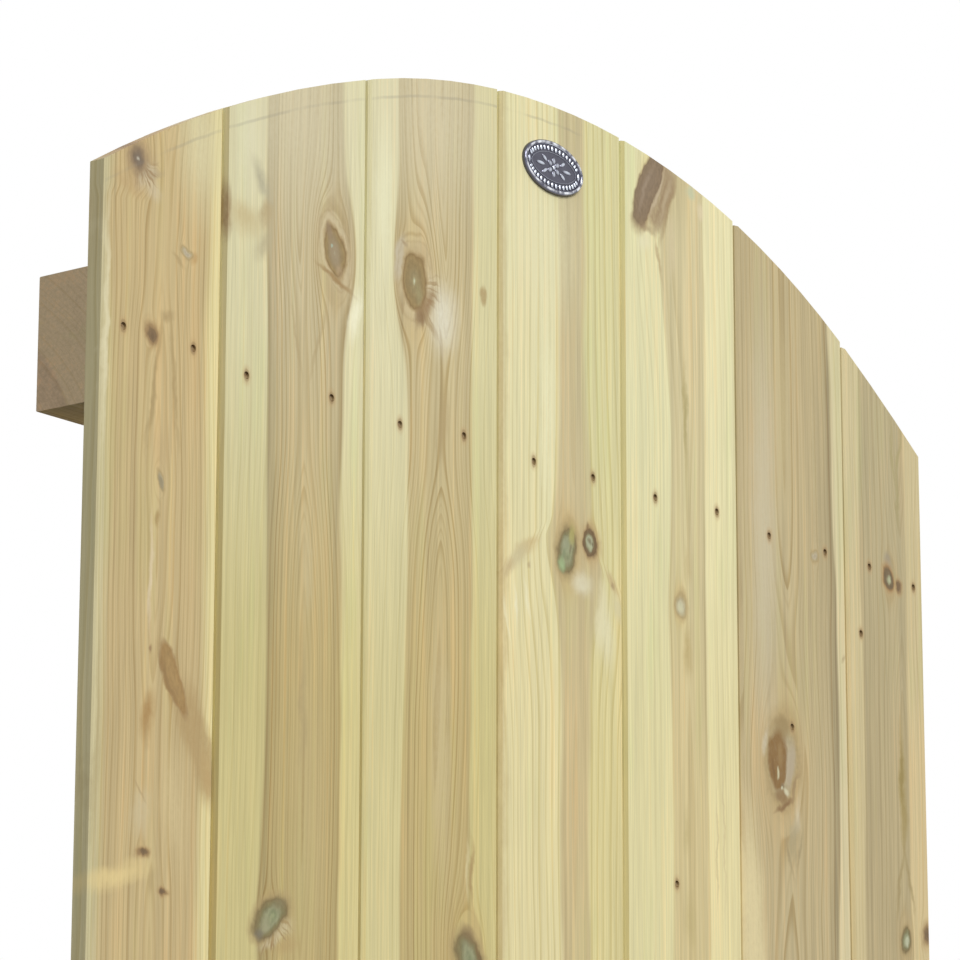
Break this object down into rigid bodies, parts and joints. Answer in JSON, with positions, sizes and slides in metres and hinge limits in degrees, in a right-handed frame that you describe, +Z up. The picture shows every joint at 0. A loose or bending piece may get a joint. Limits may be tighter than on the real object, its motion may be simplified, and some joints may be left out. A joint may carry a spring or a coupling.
{
  "type": "garden gate",
  "caption": "Arched ledged and braced wooden garden gate leaf with V-jointed tongue and groove boards, sunk nails and a small oval metal badge.",
  "frame": {"origin": "centre of the leaf's box at the foot of the boards", "axes": "+Z up the leaf, -Y out of the boarded front face, +X from the hinge side towards the latch side"},
  "size_m": [0.9, 0.053, 1.8],
  "materials": {
    "board_wood": "planed softwood, pale greenish pressure treatment, uncoated",
    "frame_wood": "sawn softwood, pressure treated, uncoated",
    "nail_steel": "dark oiled wire nail, dull",
    "badge_metal": "pressed, bright plated"
  },
  "bodies": {
    "root": {"board_1": "board_wood", "board_2": "board_wood", "board_3": "board_wood", "board_4": "board_wood", "board_5": "board_wood", "board_6": "board_wood", "board_7": "board_wood", "top_ledge": "frame_wood", "middle_ledge": "frame_wood", "bottom_ledge": "frame_wood", "upper_brace": "frame_wood", "lower_brace": "frame_wood", "top_ledge_nails": "nail_steel", "middle_ledge_nails": "nail_steel", "bottom_ledge_nails": "nail_steel", "upper_brace_nails": "nail_steel", "lower_brace_nails": "nail_steel", "badge": "badge_metal"}
  },
  "joints": []
}
